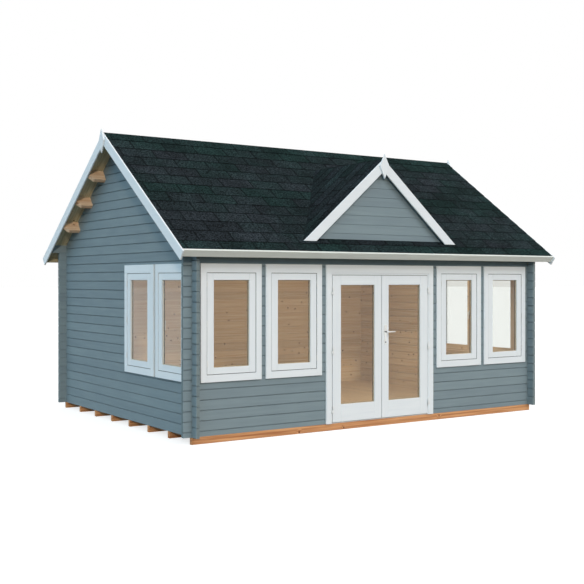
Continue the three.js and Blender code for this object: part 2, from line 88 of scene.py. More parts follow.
X = Vector((1, 0, 0))
Y = Vector((0, 1, 0))
Z = Vector((0, 0, 1))


# ---- making and shaping ----

def done():
    """Leaves edit mode."""
    if bpy.context.mode != "OBJECT":
        bpy.ops.object.mode_set(mode="OBJECT")


def alone(*pieces):
    """Selects these pieces and nothing else."""
    done()
    bpy.ops.object.select_all(action="DESELECT")
    for piece in pieces:
        piece.select_set(True)
    if pieces:
        bpy.context.view_layer.objects.active = pieces[0]


def named(name):
    """Settles the newest piece: its place goes into its mesh, and it gets its name."""
    piece = bpy.context.object
    piece.name = name
    piece.data.name = name
    bpy.ops.object.transform_apply()
    return piece


def blank(name, low, high):
    """A sawn blank between two corners."""
    alone()
    middle = [(a + b) / 2 * MM for a, b in zip(low, high)]
    size = [(b - a) * MM for a, b in zip(low, high)]
    bpy.ops.mesh.primitive_cube_add(size=1, location=middle, scale=size)
    return named(name)


def rod(name, foot, head, radius, sides=24):
    """A round bar from one point to another."""
    alone()
    foot, head = Vector(foot) * MM, Vector(head) * MM
    turn = (head - foot).to_track_quat("Z", "Y").to_euler()
    bpy.ops.mesh.primitive_cylinder_add(vertices=sides, radius=radius * MM, depth=(head - foot).length,
                                        location=(foot + head) / 2, rotation=turn)
    return named(name)


def finish(piece, kind, **settings):
    """Adds a modifier and applies it."""
    modifier = piece.modifiers.new(kind.lower(), kind)
    for key, value in settings.items():
        setattr(modifier, key, value)
    alone(piece)
    bpy.ops.object.modifier_apply(modifier=modifier.name)
    return piece


def repeat(piece, count, step):
    """Lays copies in a row, each one step further on."""
    return finish(piece, "ARRAY", count=count, use_relative_offset=False, use_constant_offset=True,
                  constant_offset_displace=[part * MM for part in step])


def arris(piece, width, segments=1):
    """Eases every sharp edge."""
    return finish(piece, "BEVEL", width=width * MM, segments=segments, limit_method="ANGLE",
                  angle_limit=math.radians(30))


def smooth(piece, degrees):
    """Shades a piece round, except at its sharper edges."""
    alone(piece)
    bpy.ops.object.shade_smooth_by_angle(angle=math.radians(degrees))
    return piece


def choose(piece, faces=None, edges=None):
    """Goes into edit mode with the faces or edges selected that pass the test, or else with all."""
    alone(piece)
    mesh = piece.data
    for group in (mesh.vertices, mesh.edges, mesh.polygons):
        for part in group:
            part.select = False
    if faces:
        for face in mesh.polygons:
            face.select = faces(face)
    if edges:
        for edge in mesh.edges:
            edge.select = edges(*[mesh.vertices[v].co for v in edge.vertices])
    bpy.ops.object.mode_set(mode="EDIT")
    bpy.ops.mesh.select_mode(type="FACE" if faces else "EDGE")
    if not faces and not edges:
        bpy.ops.mesh.select_all(action="SELECT")


def upright(a, b):
    """Whether the edge between two corners stands upright."""
    return abs(a.x - b.x) < 1e-5 and abs(a.y - b.y) < 1e-5


def trim(piece, point, normal):
    """Saws off everything on the normal's side of a plane, and closes the cut."""
    choose(piece)
    bpy.ops.mesh.bisect(plane_co=Vector(point) * MM, plane_no=normal, use_fill=True,
                        clear_outer=True, threshold=1e-7)
    done()


def score(piece, point, normal, faces=None):
    """Divides the faces that a plane crosses."""
    choose(piece, faces)
    bpy.ops.mesh.bisect(plane_co=Vector(point) * MM, plane_no=normal)
    done()


def join(name, pieces):
    """Makes one piece of several."""
    alone(*pieces)
    bpy.ops.object.join()
    pieces[0].name = name
    pieces[0].data.name = name
    return pieces[0]


def shift(piece, place):
    """Moves a piece's mesh; a mirrored one is turned the right way out."""
    piece.data.transform(place)
    if place.determinant() < 0:
        piece.data.flip_normals()
    return piece


def twin(piece, name, place=Matrix()):
    """A copy with a mesh of its own, put elsewhere."""
    copy = bpy.data.objects.new(name, piece.data.copy())
    bpy.context.collection.objects.link(copy)
    return shift(copy, place)


def discard(*pieces):
    """Takes away pieces that were only patterns or tools."""
    for piece in pieces:
        bpy.data.objects.remove(piece)


def from_node(name, node):
    """A merged copy of a CAD node's mesh, with its flat faces whole again."""
    copy = twin(frame["nodes"][node], name)
    copy.data.materials.clear()
    alone(copy)
    bpy.ops.object.mode_set(mode="EDIT")
    bpy.ops.mesh.select_all(action="SELECT")
    bpy.ops.mesh.remove_doubles(threshold=1e-5)
    bpy.ops.mesh.dissolve_limited(angle_limit=math.radians(0.5))
    bpy.ops.mesh.customdata_custom_splitnormals_clear()
    done()
    bpy.ops.object.shade_flat()
    return copy


def lay_grain(piece, along, across, lane=None):
    """Each board gets its own run of grain in 'grain' (along, across, through) and its own 'tone'."""
    mesh = piece.data
    through = along.cross(across)
    mesh.attributes.new("grain", "FLOAT_VECTOR", "CORNER")
    mesh.attributes.new("tone", "FLOAT", "FACE")
    grain = mesh.attributes["grain"].data
    tone = mesh.attributes["tone"].data
    lots = {}
    for face in mesh.polygons:
        key = lane(face.center / MM) if lane else 0
        if key not in lots:
            lots[key] = (random.uniform(0, 40), random.uniform(0, 40), random.random())
        run, step, shade = lots[key]
        tone[face.index].value = shade
        for corner in face.loop_indices:
            spot = mesh.vertices[mesh.loops[corner].vertex_index].co
            grain[corner].vector = (spot.dot(along) + run, spot.dot(across) + step, spot.dot(through))
    return piece


def board(name, low, high, along, across, ease):
    """A planed board with eased arrises and its own grain."""
    return lay_grain(arris(blank(name, low, high), ease), along, across)


def coat(piece, *materials):
    """Gives a piece its materials, the first one on every face."""
    piece.data.materials.clear()
    for each in materials:
        piece.data.materials.append(each)
    return piece


def set_up(piece, slot, *nodes, body="house"):
    """Says which CAD nodes a finished piece stands for, by hiding them, and what it moves with; the slot it
    is given is not used.
    """
    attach(piece, body)
    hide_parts(*nodes)
    return piece


def timber(node, word, ease, along, across, slot, *materials, lane=None):
    """A squared timber from its node: arrises eased, grain laid, coated."""
    piece = arris(from_node(f"{node}_{word}", node), ease)
    lay_grain(piece, along, across, lane)
    return set_up(coat(piece, *materials), slot, node)


# ---- materials ----

MIX_FIRST, MIX_SECOND, MIX_RESULT = 6, 7, 2


def linear(hex_value):
    """An sRGB hex colour as linear red, green, blue and alpha."""
    parts = [int(hex_value[i:i + 2], 16) / 255 for i in (1, 3, 5)]
    return (*[p / 12.92 if p <= 0.04045 else ((p + 0.055) / 1.055) ** 2.4 for p in parts], 1)


def add_node(tree, kind, inputs=None, **settings):
    """Adds a node. An input is a value, a socket, or a node whose first output feeds it."""
    node = tree.nodes.new("ShaderNode" + kind)
    for key, value in settings.items():
        setattr(node, key, value)
    for key, value in (inputs or {}).items():
        if isinstance(value, bpy.types.Node):
            value = value.outputs[0]
        if isinstance(value, bpy.types.NodeSocket):
            tree.links.new(value, node.inputs[key])
        else:
            node.inputs[key].default_value = value
    return node


def emptied(owner):
    """Clears a material's or world's node tree; returns what adds nodes to it."""
    owner.use_nodes = True
    owner.node_tree.nodes.clear()
    return partial(add_node, owner.node_tree)


def material(name):
    """A new material, and what adds nodes to its empty tree."""
    made = bpy.data.materials.new(name)
    return made, emptied(made)


def drawn_out(add, place, scale, detail, roughness=0.5):
    """Noise stretched by its own scale along each axis: streaks."""
    stretched = add("Mapping", {"Vector": place, "Scale": scale})
    return add("TexNoise", {"Vector": stretched, "Scale": 1.0, "Detail": detail, "Roughness": roughness})


def bare_wood(name, pale, dark, knot, knots, roughness):
    """Planed softwood: streaks along each board, a tone per board, brown knots the grain flows round."""
    made, add = material(name)
    place = add("Attribute", attribute_name="grain").outputs["Vector"]
    tone = add("Attribute", attribute_name="tone").outputs["Fac"]
    # knots 20 to 32 mm across, in some of the cells of a 130 mm net
    cells = add("TexVoronoi", {"Vector": place, "Scale": 7.7}, voronoi_dimensions="2D")
    lot = add("SeparateColor", {"Color": cells.outputs["Color"]})
    there = add("Math", {0: lot, 1: 1 - knots}, operation="GREATER_THAN")
    core = add("MapRange", {0: cells, 1: 0.07, 2: 0.125, 3: 1.0, 4: 0.0}, interpolation_type="SMOOTHSTEP")
    depth = add("MapRange", {0: lot.outputs[1], 3: 0.4, 4: 1.0})
    for factor in (there, depth):
        core = add("Math", {0: core, 1: factor}, operation="MULTIPLY")
    halo = add("MapRange", {0: cells, 1: 0.05, 2: 0.42, 3: 0.022, 4: 0.0}, interpolation_type="SMOOTHSTEP")
    halo = add("Math", {0: halo, 1: there}, operation="MULTIPLY")
    bend = add("CombineXYZ", {1: halo, 2: halo})
    flow = add("VectorMath", {0: place, 1: bend}, operation="ADD")
    # growth rings cut along their length: bands 6 to 15 mm wide that run for most of a metre
    bands = drawn_out(add, flow, (1.2, 52, 52), 3.0, 0.55)
    fibres = drawn_out(add, flow, (6, 240, 240), 2.0)
    streak = add("MapRange", {0: bands, 1: 0.32, 2: 0.72})
    colour = add("Mix", {0: streak, MIX_FIRST: linear(pale), MIX_SECOND: linear(dark)}, data_type="RGBA")
    value = add("MapRange", {0: tone, 3: 0.93, 4: 1.07})
    colour = add("HueSaturation", {"Value": value, "Color": colour.outputs[MIX_RESULT]})
    colour = add("Mix", {0: core, MIX_FIRST: colour, MIX_SECOND: linear(knot)}, data_type="RGBA")
    ridges = add("Math", {0: fibres, 1: streak}, operation="ADD")
    bump = add("Bump", {"Strength": 0.25, "Distance": 0.0004, "Height": ridges})
    gloss = add("MapRange", {0: streak, 3: roughness - 0.06, 4: roughness + 0.06})
    shader = add("BsdfPrincipled", {
        "Base Color": colour.outputs[MIX_RESULT], "Roughness": gloss, "IOR": 1.5, "Normal": bump})
    add("OutputMaterial", {0: shader})
    return made


def coated_wood(name, pale, dark, roughness, spread, raised, specular):
    """Softwood under an opaque coat: one colour, with the grain raised faintly and a tone per board."""
    made, add = material(name)
    place = add("Attribute", attribute_name="grain").outputs["Vector"]
    tone = add("Attribute", attribute_name="tone").outputs["Fac"]
    # brushed lengthwise: streaks 15 to 40 mm wide, coarser than the bristles so that they show
    streak = drawn_out(add, place, (1.6, 30, 30), 4.0, 0.6)
    fibres = drawn_out(add, place, (7, 260, 260), 2.0)
    patches = add("TexNoise", {"Vector": place, "Scale": 2.2, "Detail": 2.0})
    blend = add("Math", {0: tone, 1: spread, 2: streak}, operation="MULTIPLY_ADD")
    blend = add("Math", {0: patches, 1: 0.5, 2: blend}, operation="MULTIPLY_ADD")
    share = add("MapRange", {0: blend, 1: 0.5, 2: 1.0 + spread})
    colour = add("Mix", {0: share, MIX_FIRST: linear(dark), MIX_SECOND: linear(pale)}, data_type="RGBA")
    bump = add("Bump", {"Strength": raised, "Distance": 0.0005, "Height": fibres})
    gloss = add("MapRange", {0: share, 3: roughness + 0.05, 4: roughness - 0.05})
    shader = add("BsdfPrincipled", {
        "Base Color": colour.outputs[MIX_RESULT], "Roughness": gloss, "IOR": 1.5,
        "Specular IOR Level": specular, "Normal": bump})
    add("OutputMaterial", {0: shader})
    return made


def mineral_shingle():
    """Bitumen shingles pressed with slate granules: matt, speckled, some tabs greyer, some greener."""
    made, add = material("mineral_shingle")
    place = add("TexCoord").outputs["Object"]
    lot = add("SeparateXYZ", {0: add("Attribute", attribute_name="tint").outputs["Vector"]})
    lie = add("SeparateXYZ", {0: add("Attribute", attribute_name="lie").outputs["Vector"]})
    # granules are 1 to 2 mm; they are drawn in clumps of 15 to 25 mm so that they show
    clumps = add("TexNoise", {"Vector": place, "Scale": 54.0, "Detail": 2.0, "Roughness": 0.8})
    grit = add("TexNoise", {"Vector": place, "Scale": 420.0, "Detail": 2.0})
    # the blend of granules drifts over a few tabs
    drift = add("TexNoise", {"Vector": place, "Scale": 2.4, "Detail": 5.0, "Roughness": 0.65})
    blend = add("TexNoise", {"Vector": place, "Scale": 1.1, "Detail": 3.0, "Roughness": 0.6})
    wander = add("MapRange", {0: blend, 1: 0.35, 2: 0.65, 3: -0.35, 4: 0.35})
    share = add("Math", {0: lot.outputs[1], 1: wander}, operation="ADD", use_clamp=True)
    family = add("Mix", {0: share, MIX_FIRST: linear("#252b2f"), MIX_SECOND: linear("#1d2e2d")},
                 data_type="RGBA")
    value = add("MapRange", {0: clumps, 1: 0.38, 2: 0.64, 3: 0.2, 4: 1.8})
    cloud = add("MapRange", {0: drift, 1: 0.32, 2: 0.68, 3: 0.7, 4: 1.3})
    tab = add("MapRange", {0: lot, 3: 0.82, 4: 1.18})
    # painted shade: darker in the last 12 mm under the butt above, and along the slits
    butt_shade = add("MapRange", {0: lie.outputs[1], 1: 0.93, 2: 0.985, 3: 1.0, 4: 0.4},
                 interpolation_type="SMOOTHSTEP")
    from_middle = add("Math", {0: lie, 1: 0.5}, operation="SUBTRACT")
    from_middle = add("Math", {0: from_middle, 1: lie.outputs[2]}, operation="MULTIPLY")
    from_middle = add("Math", {0: from_middle}, operation="ABSOLUTE")
    slit_shade = add("MapRange", {0: from_middle, 1: 0.476, 2: 0.493, 3: 1.0, 4: 0.6},
                 interpolation_type="SMOOTHSTEP")
    for factor in (cloud, tab, butt_shade, slit_shade):
        value = add("Math", {0: value, 1: factor}, operation="MULTIPLY")
    colour = add("HueSaturation", {"Value": value, "Color": family.outputs[MIX_RESULT]})
    rough = add("Math", {0: clumps, 1: grit}, operation="ADD")
    bump = add("Bump", {"Strength": 0.6, "Distance": 0.0015, "Height": rough})
    shader = add("BsdfPrincipled", {
        "Base Color": colour, "Roughness": 0.95, "IOR": 1.5, "Specular IOR Level": 0.03, "Normal": bump})
    add("OutputMaterial", {0: shader})
    return made


def mottled(name, pale, dark, roughness, scale=60.0, detail=2.0, play=0.05, specular=0.5):
    """Plastic, rubber or bitumen: even, with a faint mottle in its colour and its gloss."""
    made, add = material(name)
    place = add("TexCoord").outputs["Object"]
    mottle = add("TexNoise", {"Vector": place, "Scale": scale, "Detail": detail})
    colour = add("Mix", {0: mottle, MIX_FIRST: linear(dark), MIX_SECOND: linear(pale)}, data_type="RGBA")
    gloss = roughness
    if play:
        gloss = add("MapRange", {0: mottle, 3: roughness + play, 4: roughness - play})
    shader = add("BsdfPrincipled", {
        "Base Color": colour.outputs[MIX_RESULT], "Roughness": gloss, "IOR": 1.5,
        "Specular IOR Level": specular})
    add("OutputMaterial", {0: shader})
    return made


def float_glass():
    """Clear float glass: smooth, colourless, seen by its reflections; lamps shine through it."""
    made, add = material("float_glass")
    path = add("LightPath")
    tint = linear("#eeefec")
    shader = add("BsdfPrincipled", {
        "Base Color": tint, "Roughness": 0.0, "IOR": 1.45, "Specular IOR Level": 0.03,
        "Transmission Weight": 1.0})
    clear = add("BsdfTransparent", {"Color": tint})
    passing = add("Math", {0: path.outputs["Is Shadow Ray"], 1: path.outputs["Is Diffuse Ray"]},
                  operation="MAXIMUM")
    mix = add("MixShader", {0: passing, 1: shader, 2: clear})
    add("OutputMaterial", {0: mix})
    return made


def satin_metal(name, colour, roughness):
    """Brushed and lacquered metal: soft lengthwise streaks in its gloss."""
    made, add = material(name)
    place = add("TexCoord").outputs["Object"]
    # brush lines under 1 mm, drawn 3 mm wide
    lines = drawn_out(add, place, (40, 330, 330), 2.0)
    gloss = add("MapRange", {0: lines, 3: roughness - 0.06, 4: roughness + 0.06})
    shader = add("BsdfPrincipled", {"Base Color": linear(colour), "Metallic": 1.0, "Roughness": gloss})
    add("OutputMaterial", {0: shader})
    return made


# opaque wood stain on planed spruce: matt, the grain just felt, each log a shade apart
GREY_STAIN = coated_wood("grey_stained_spruce", "#839398", "#76858c", 0.68, 0.25, 0.35, 0.25)
# the sawn ends of the logs: darker and greyer, partly end grain soaking up more stain, partly painted shade
# of the crossed corners
END_STAIN_AND_SHADE = coated_wood("grey_stained_end_grain", "#7a8788", "#6b787c", 0.75, 0.3, 0.5, 0.2)
# opaque white paint on smooth joinery: satin, nearly even
WHITE_PAINT = coated_wood("white_painted_joinery", "#e8edef", "#dfe5e9", 0.45, 0.1, 0.12, 0.35)
# the same on the fascia boards, painted a little darker and creamier: painted warm shade on the boards
# tilted down under the eaves
SHADED_EDGE_PAINT = coated_wood("white_fascia_paint_painted_shade", "#e3e7e1", "#d9ded9", 0.5, 0.1, 0.15, 0.3)
# spruce left bare: honey-coloured streaks with small brown knots
BARE_PINE = bare_wood("planed_spruce", "#ddcbaa", "#c9a982", "#55301c", 0.22, 0.6)
# the roof boards painted duller, darker and less red than the room's spruce: painted shade of their
# underside beneath the eaves
SHADED_ROOF_PINE = bare_wood("greyed_spruce_boards", "#cdc4a4", "#b0a07a", "#4a3524", 0.15, 0.7)
# the purlins' spruce painted paler and pinker than the room's: paler as painted light on the purlins under
# the eaves
LIT_PURLIN_PINE = bare_wood("spruce_purlins_painted_light", "#e6ccae", "#cba07a", "#7a4a2c", 0.1, 0.6)
# pine soaked with brown preservative: rusty orange, darker in the grain
TREATED_PINE = bare_wood("impregnated_pine", "#dca26f", "#995b30", "#6b3a1e", 0.12, 0.72)
SHINGLE = mineral_shingle()
# the shingles' cut edges and the underlay: near-black and dull, without granules
BITUMEN = mottled("cut_bitumen", "#191d1f", "#0d1012", 0.85, 30.0, 3.0, 0, 0.1)
GLASS = float_glass()
# the door's levers and plates shine softly; their necks and the lock cylinder are darker steel, which also
# paints the shade round the lever's neck
STEEL = satin_metal("brushed_stainless_steel", "#d8d8d4", 0.28)
DARK_STEEL_AND_SHADE = satin_metal("turned_steel", "#63686c", 0.36)
# hinges and window handles are white and satin, and the seals in the gaps dark and dull; the dark rubber,
# close behind the faces and round the panes, also paints the shade in the gaps and reveals
WHITE_NYLON = mottled("white_nylon", "#e8eaea", "#dcdfdf", 0.4)
DARK_RUBBER_AND_SHADE = mottled("dark_rubber_seal", "#2a2c2e", "#1f2123", 0.6)

# ---- log walls ----

JOINT_REACH = 4.0        # the cutter starts this far in front of the face
JOINT_DEPTH = 12.0
JOINT_SLIT = 1.6         # half the narrow slit between two logs
JOINT_VEE = 4.2          # half the width of the vee at the face
END_EASE = 3.0


def joint_rings(low, high, start, count, vee, depth):
    """Cutters for the joints between logs: each runs round the wall as a vee with a slit behind it."""
    vee_depth = vee - JOINT_SLIT
    profile = [
        (JOINT_REACH, vee + JOINT_REACH), (-vee_depth, JOINT_SLIT), (-depth, JOINT_SLIT),
        (-depth, -JOINT_SLIT), (-vee_depth, -JOINT_SLIT), (JOINT_REACH, -vee - JOINT_REACH)]
    middle = [(a + b) / 2 * MM for a, b in zip(low, high)]
    alone()
    loops = []
    for grow, rise in profile:
        size = [(b - a + 2 * grow) * MM for a, b in zip(low, high)]
        bpy.ops.mesh.primitive_plane_add(size=1, location=(*middle, (start + rise) * MM))
        bpy.context.object.scale = (*size, 1)
        loops.append(named("joint_loop"))
    ring = join("joint_ring", loops)
    choose(ring)
    bpy.ops.mesh.delete(type="ONLY_FACE")
    bpy.ops.mesh.select_all(action="SELECT")
    bpy.ops.mesh.bridge_edge_loops(type="CLOSED")
    bpy.ops.mesh.select_all(action="SELECT")
    bpy.ops.mesh.normals_make_consistent()
    done()
    return repeat(ring, count, (0, 0, LOG_PITCH))


def cut_joints(piece, cutter):
    """Cuts the joints into a wall."""
    finish(piece, "BOOLEAN", operation="DIFFERENCE", solver="MANIFOLD", object=cutter)
    discard(cutter)


CROSSING_X = WALL_HALF_X - LOG_THICKNESS / 2      # where the middles of the walls cross
CROSSING_Y = WALL_HALF_Y - LOG_THICKNESS / 2
RUN_X = WALL_HALF_X + LOG_END
RUN_Y = WALL_HALF_Y + LOG_END
INNER_FACE_X = WALL_HALF_X - LOG_THICKNESS
INNER_FACE_Y = WALL_HALF_Y - LOG_THICKNESS
FACE_JOINT = WALL_BASE + LOG_PITCH / 2      # front and back walls start with half a log
SIDE_JOINT = WALL_BASE + LOG_PITCH          # side walls start with a whole one


def stain(wall, crossing, along, run):
    """Divides the faces where the walls cross: the room's half stays bare, the sawn ends go darker."""
    for side in (-1, 1):
        score(wall, along * side * crossing, along)
    # the sawn ends beyond the crossing take the darker colour: end-grain stain and painted shade
    for face in wall.data.polygons:
        x, y, _ = face.center / MM
        if abs(x) < CROSSING_X - 1 and abs(y) < CROSSING_Y - 1:
            face.material_index = 1
        elif abs(face.normal.dot(along)) > 0.9 and abs(face.center.dot(along)) > (run - 5) * MM:
            face.material_index = 2


def log_wall(node, axis, low, high, first_joint, count, ends=True):
    """A log wall from its node: joints cut, ends eased, stained outside and bare inside."""
    along, crossing, run = ((X, CROSSING_X, RUN_X), (Y, CROSSING_Y, RUN_Y))[axis]
    near = (run - 1) * MM
    wall = from_node(node + "_logs", node)
    if ends:
        choose(wall, edges=lambda a, b: upright(a, b) and min(abs(a[axis]), abs(b[axis])) > near)
        bpy.ops.mesh.bevel(offset=END_EASE * MM, segments=1, affect="EDGES")
        done()
    cut_joints(wall, joint_rings(low, high, first_joint, count, JOINT_VEE, JOINT_DEPTH))
    coat(wall, GREY_STAIN, BARE_PINE, END_STAIN_AND_SHADE)
    stain(wall, crossing, along, run)
    lay_grain(wall, along, Z, lambda spot: math.floor((spot.z - first_joint) / LOG_PITCH))
    set_up(wall, "grey_paint", node)


# across the log ends and in the room the joints are finer
END_X, END_Y = RUN_X + 2.8, RUN_Y + 2.8
ROOM_X, ROOM_Y = INNER_FACE_X - 0.9, INNER_FACE_Y - 0.9
FACE_JOINTS, SIDE_JOINTS = 19, 30
door_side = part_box("front_wall_right")[0].x / MM
over_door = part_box("front_wall_over_door")
logs_below = 16          # under the wall over the door

log_wall("front_wall_left", 0, (-END_X, -WALL_HALF_Y), (-door_side, -ROOM_Y), FACE_JOINT, FACE_JOINTS)
log_wall("front_wall_right", 0, (door_side, -WALL_HALF_Y), (END_X, -ROOM_Y), FACE_JOINT, FACE_JOINTS)
log_wall("front_wall_over_door", 0, (over_door[0].x / MM, -WALL_HALF_Y), (over_door[1].x / MM, -ROOM_Y),
         FACE_JOINT + logs_below * LOG_PITCH, FACE_JOINTS - logs_below, ends=False)
log_wall("back_wall", 0, (-END_X, ROOM_Y), (END_X, WALL_HALF_Y), FACE_JOINT, FACE_JOINTS)
log_wall("left_gable_wall", 1, (-WALL_HALF_X, -END_Y), (-ROOM_X, END_Y), SIDE_JOINT, SIDE_JOINTS)
log_wall("right_gable_wall", 1, (ROOM_X, -END_Y), (WALL_HALF_X, END_Y), SIDE_JOINT, SIDE_JOINTS)

# ---- bearers, floor and purlins ----

for number in range(1, 9):
    timber(f"bearer_{number}", "treated", 3.0, X, Z, "treated_pine", TREATED_PINE)

FLOOR_BOARDS = 46
floor_low, floor_high = (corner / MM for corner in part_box("floor"))
board_width = (floor_high.x - floor_low.x) / FLOOR_BOARDS
plank = blank("floor_boards", floor_low, (floor_low.x + board_width - 0.4, floor_high.y, floor_high.z))
repeat(arris(plank, 1.5), FLOOR_BOARDS, (board_width, 0, 0))
lay_grain(plank, Y, X, lambda spot: math.floor((spot.x - floor_low.x) / board_width))
set_up(coat(plank, BARE_PINE), "natural_pine", "floor")

# the purlins take the paler spruce: painted light
for node in [f"purlin_{side}_{i}" for side in ("front", "back") for i in (1, 2, 3)] + ["ridge_purlin"]:
    timber(node, "planed", 3.0, X, Z, "natural_pine", LIT_PURLIN_PINE)

# ---- roof ----

COURSE = 202.5           # how much of a shingle course shows, down the slope
COURSES = 13
CAP_LEG = 160.0          # the ridge caps' reach down each side
TAB = 445.6              # width of a tab
TABS = 16                # enough for a whole course
SLIT = 8.0
LAP = 25.0               # the part of a tab under the course above
SHEET = 4.5              # thickness of a shingle
TILT = 5.1               # how far a tab's lower edge is lifted by the course below
FIRST_SLIT = -2397.0     # a slit in every second course; the others are half a tab across
FIRST_TAB = FIRST_SLIT - 2 * TAB
SLIVER = 20.0            # a shorter rest of a course is left out
CLIP = 5.0               # taken off a tab's lower corners
ROOF_BOARD, BOARD_GAP = 114.0, 0.5
RIDGE_GAP, DORMER_GAP = 12.0, 14.0      # the boards stop this short of the ridge
# from the roof's plane down: the shingles' underside, the felt and the boards
TAB_BED = -6.5
FELT_LOW, FELT_HIGH = -9.8, -6.9
BOARD_LOW, BOARD_HIGH = -25, -10
TEAL_ROWS = {0: 1.0, 1: 0.75, 6: 0.9, 7: 0.7, 12: 0.9}      # courses with more green granules
TEAL_SHARE = 0.3         # their share in all the others


def slope_frame(side):
    """From roof coordinates (across, down the slope, above the roof's plane) to the house's."""
    return Matrix((
        (1, 0, 0, 0),
        (0, side * ROOF_COS, side * ROOF_SIN, 0),
        (0, -ROOF_SIN, ROOF_COS, RIDGE * MM),
        (0, 0, 0, 1)))


def dormer_frame(side):
    """The same for the small gable: (towards the ridge, down its slope, above its plane)."""
    return Matrix((
        (0, side * DORMER_COS, side * DORMER_SIN, 0),
        (1, 0, 0, 0),
        (0, -DORMER_SIN, DORMER_COS, DORMER_APEX * MM),
        (0, 0, 0, 1)))


def shingle_tab(name, width, start, end):
    """One tab, tilted so that its lower edge lies on the course below; the lower corners are clipped."""
    length = end - start
    tab = blank(name, (0, start, TAB_BED), (width, end, TAB_BED + SHEET))
    choose(tab, edges=lambda a, b: min(a.y, b.y) > (end - 1) * MM)
    bpy.ops.transform.translate(value=(0, 0, TILT * length / (COURSE + LAP) * MM))
    choose(tab, edges=lambda a, b: min(a.y, b.y) > (end - 1) * MM and upright(a, b))
    bpy.ops.mesh.bevel(offset=CLIP * MM, segments=2, affect="EDGES")
    done()
    # 'lie' holds the share of the width, the height over the lower edge (1 at the next butt), and 1
    lie = tab.data.attributes.new("lie", "FLOAT_VECTOR", "CORNER").data
    for corner in tab.data.loops:
        spot = tab.data.vertices[corner.vertex_index].co / MM
        lie[corner.index].vector = (spot.x / width, (end - spot.y) / (length - LAP), 1)
    return tab


def courses_of_tabs(name, rows, start, height, limit, width, first, count):
    """Courses laid down a slope, the odd ones half a tab across."""
    laid = []
    for row in rows:
        top = start + row * height
        butt = min(top + height, limit)
        if butt - top > SLIVER:
            tab = shingle_tab(f"course_{row}", width - SLIT, top - LAP, butt)
            shift(tab, Matrix.Translation(((first + row % 2 * width / 2) * MM, 0, 0)))
            laid.append(repeat(tab, count, (width, 0, 0)))
    return coat(join(name, laid), SHINGLE, BITUMEN)


def underlay(name, x0, x1, end):
    """A sheet of felt under the shingles."""
    return coat(blank(name, (x0, 2, FELT_LOW), (x1, end, FELT_HIGH)), BITUMEN)


def roof_boards(name, first, start, end, count):
    """Boards side by side, each as long as the slope."""
    plank = blank(name, (first, start, BOARD_LOW), (first + ROOF_BOARD - BOARD_GAP, end, BOARD_HIGH))
    # the boards' spruce is painted darker: painted shade
    return coat(repeat(arris(plank, 2.5), count, (ROOF_BOARD, 0, 0)), SHADED_ROOF_PINE)


def tint_tabs(piece, tab_of, family_of):
    """Every tab gets its own shade and granule blend in 'tint'; cut edges are bare bitumen."""
    mesh = piece.data
    for face in mesh.polygons:
        face.material_index = int(abs(face.normal.z) < 0.5)
    tint = mesh.attributes.new("tint", "FLOAT_VECTOR", "FACE").data
    lots = {}
    for face in mesh.polygons:
        key = tab_of(face.center / MM)
        if key not in lots:
            lots[key] = (random.random(), min(1, max(0, family_of(key) + random.uniform(-0.3, 0.3))))
        tint[face.index].vector = (*lots[key], 0)


def trim_verges(piece):
    """Saws a roof layer off at both gables."""
    for side in (-1, 1):
        trim(piece, (side * ROOF_HALF_X, 0, 0), (side, 0, 0))


def main_tab(spot):
    """The course and the tab that a point on the main slope is in; course 0 is the cap."""
    row = max(0, math.floor((spot.y - CAP_LEG + 1) / COURSE) + 1)
    return (row, math.floor((spot.x - FIRST_SLIT + row % 2 * TAB / 2) / TAB))


roof_cover = courses_of_tabs("roof_cover", range(1, COURSES + 1), CAP_LEG - COURSE, COURSE, SLOPE - 1,
                             TAB, FIRST_TAB + SLIT / 2, TABS)
trim_verges(roof_cover)
felt = underlay("felt", -ROOF_HALF_X, ROOF_HALF_X, SLOPE - 1)
boards = roof_boards("boards", -ROOF_HALF_X, RIDGE_GAP, SLOPE, math.ceil(2 * ROOF_HALF_X / ROOF_BOARD))
trim(boards, (ROOF_HALF_X, 0, 0), (1, 0, 0))

for side, word in ((-1, "front"), (1, "back")):
    cover = twin(roof_cover, f"{word}_shingles")
    tint_tabs(cover, main_tab, lambda key: TEAL_ROWS.get(key[0], TEAL_SHARE))
    sheet = twin(felt, f"{word}_underlay")
    deck = twin(boards, f"{word}_roof_boards")
    lay_grain(deck, Y, X, lambda spot: math.floor((spot.x + ROOF_HALF_X) / ROOF_BOARD))
    for piece, slot in ((cover, "roof_covering"), (sheet, "roof_covering"), (deck, "natural_pine")):
        set_up(shift(piece, slope_frame(side)), slot, f"{word}_roof")
discard(roof_cover, felt, boards)

# the ridge caps: flat strips folded over the ridge, and lying this high above its edge
CAP_BED = 5.0
cap_half = CAP_LEG * ROOF_COS
cap_rise = cap_half * ROOF_TAN
alone()
bpy.ops.mesh.primitive_grid_add(x_subdivisions=1, y_subdivisions=2, size=1)
bpy.context.object.scale = ((TAB - SLIT) * MM, 2 * cap_half * MM, 1)
cap = named("ridge_caps")
choose(cap, edges=lambda a, b: max(abs(a.y), abs(b.y)) < 1e-6)
bpy.ops.transform.translate(value=(0, 0, cap_rise * MM))
done()
shift(cap, Matrix.Translation(((TAB - SLIT) / 2 * MM, 0, (RIDGE + CAP_BED - cap_rise) * MM)))
finish(cap, "SOLIDIFY", thickness=SHEET * MM, offset=-1)
shift(cap, Matrix.Translation(((FIRST_TAB + SLIT / 2) * MM, 0, 0)))
repeat(cap, TABS, (TAB, 0, 0))
trim_verges(cap)
coat(cap, SHINGLE, BITUMEN)
tint_tabs(cap, lambda spot: (0, math.floor((spot.x - FIRST_SLIT) / TAB)), lambda key: TEAL_ROWS[0])
set_up(cap, "roof_covering", "front_roof", "back_roof")

